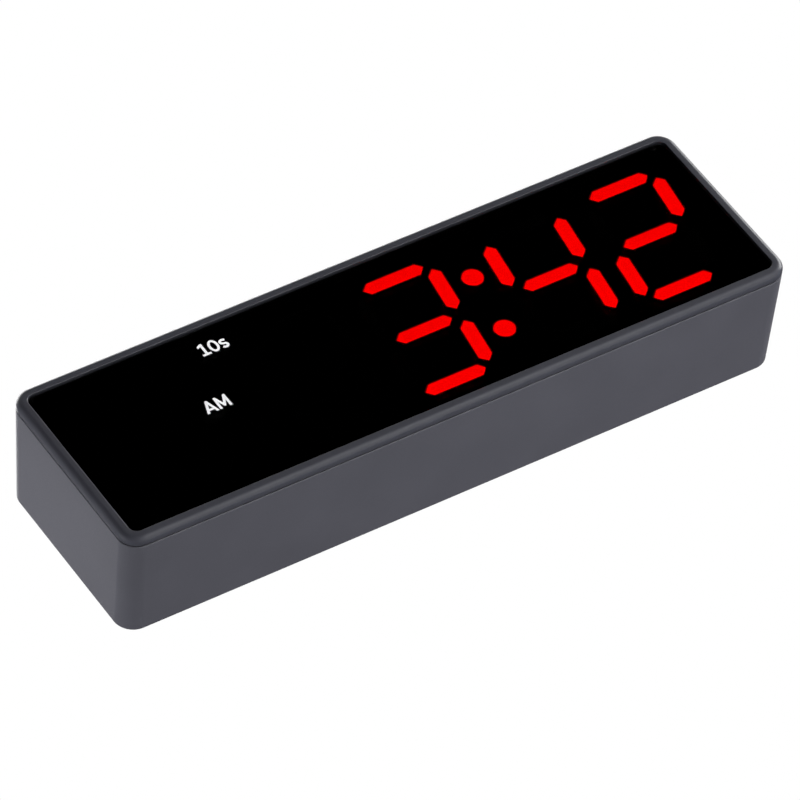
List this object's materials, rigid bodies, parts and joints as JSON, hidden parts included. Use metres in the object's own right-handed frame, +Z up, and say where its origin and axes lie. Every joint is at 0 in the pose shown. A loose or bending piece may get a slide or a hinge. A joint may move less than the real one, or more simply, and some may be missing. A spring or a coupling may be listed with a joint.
{
  "type": "alarm clock",
  "caption": "Slim desk alarm clock with a lit red segment display behind a smoked lens, a snooze bar on top, keys, power inlet and battery door on the back.",
  "frame": {"origin": "middle of the clock in plan, on the surface it stands on", "axes": "+Z up, the display faces -Y, +X to the right of someone reading the display"},
  "size_m": [0.1504, 0.0264, 0.0445],
  "materials": {
    "bezel_plastic": "satin moulded",
    "housing_plastic": "fine matte texture",
    "smoked_lens": "polished smoked acrylic",
    "reflector_black": "matte",
    "diffuser_white": "translucent",
    "red_light": "lit red",
    "white_light": "lit white",
    "circuit_board": "solder mask",
    "steel": "bright",
    "nickel_contact": "nickel plated",
    "black_component": "moulded",
    "cell_sleeve": "printed film sleeve",
    "ribbon": "smooth",
    "black_wire": "smooth",
    "red_wire": "smooth",
    "control_plastic": "satin moulded"
  },
  "bodies": {
    "clock": {"alarm_switch": "black_component", "battery_cell_1": "cell_sleeve", "battery_cell_2": "cell_sleeve", "battery_cell_3": "cell_sleeve", "battery_wire_negative": "black_wire", "battery_wire_positive": "red_wire", "clock_chip": "black_component", "colon_dot_lower": "red_light", "colon_dot_upper": "red_light", "contact_bridge_left": "nickel_contact", "contact_bridge_right": "nickel_contact", "contact_negative": "nickel_contact", "contact_positive": "nickel_contact", "crystal": "steel", "display_board": "circuit_board", "display_board_screw_1": "steel", "display_board_screw_2": "steel", "display_board_screw_3": "steel", "display_board_screw_4": "steel", "display_lens": "smoked_lens", "down_switch": "black_component", "driver_chip": "black_component", "front_bezel": "bezel_plastic", "hours_bar_a": "red_light", "hours_bar_b": "red_light", "hours_bar_c": "red_light", "hours_bar_d": "red_light", "hours_bar_g": "red_light", "housing": "housing_plastic", "legend_10s": "white_light", "legend_am": "white_light", "main_board": "circuit_board", "main_board_screw_1": "steel", "main_board_screw_2": "steel", "main_board_screw_3": "steel", "minute_tens_bar_b": "red_light", "minute_tens_bar_c": "red_light", "minute_tens_bar_f": "red_light", "minute_tens_bar_g": "red_light", "minute_units_bar_a": "red_light", "minute_units_bar_b": "red_light", "minute_units_bar_d": "red_light", "minute_units_bar_e": "red_light", "minute_units_bar_g": "red_light", "power_socket": "steel", "reflector_block": "reflector_black", "ribbon_cable": "ribbon", "segment_diffuser": "diffuser_white", "set_switch": "black_component", "snooze_switch": "black_component", "sounder": "black_component", "up_switch": "black_component"},
    "snooze_bar": {"snooze_bar": "control_plastic"},
    "battery_door": {"battery_door": "housing_plastic"},
    "set_key": {"set_key": "control_plastic"},
    "up_key": {"up_key": "control_plastic"},
    "down_key": {"down_key": "control_plastic"},
    "alarm_key": {"alarm_key": "control_plastic"}
  },
  "joints": [
    {"name": "snooze_press", "type": "slide", "parent": "clock", "child": "snooze_bar", "axis": [0, 0, -1], "range_m": [0, 0.0008], "stiffness_N_per_m": 1500, "springref_m": -0.0006},
    {"name": "battery_door_hinge", "type": "hinge", "parent": "clock", "child": "battery_door", "pos_m": [-0.04015, 0.01325, 0.03925], "axis": [1, 0, 0], "range_deg": [0, 85]},
    {"name": "set_key_press", "type": "slide", "parent": "clock", "child": "set_key", "axis": [0, -1, 0], "range_m": [0, 0.0005], "stiffness_N_per_m": 1500, "springref_m": -0.0006},
    {"name": "up_key_press", "type": "slide", "parent": "clock", "child": "up_key", "axis": [0, -1, 0], "range_m": [0, 0.0005], "stiffness_N_per_m": 1500, "springref_m": -0.0006},
    {"name": "down_key_press", "type": "slide", "parent": "clock", "child": "down_key", "axis": [0, -1, 0], "range_m": [0, 0.0005], "stiffness_N_per_m": 1500, "springref_m": -0.0006},
    {"name": "alarm_key_press", "type": "slide", "parent": "clock", "child": "alarm_key", "axis": [0, -1, 0], "range_m": [0, 0.0005], "stiffness_N_per_m": 1500, "springref_m": -0.0006}
  ]
}
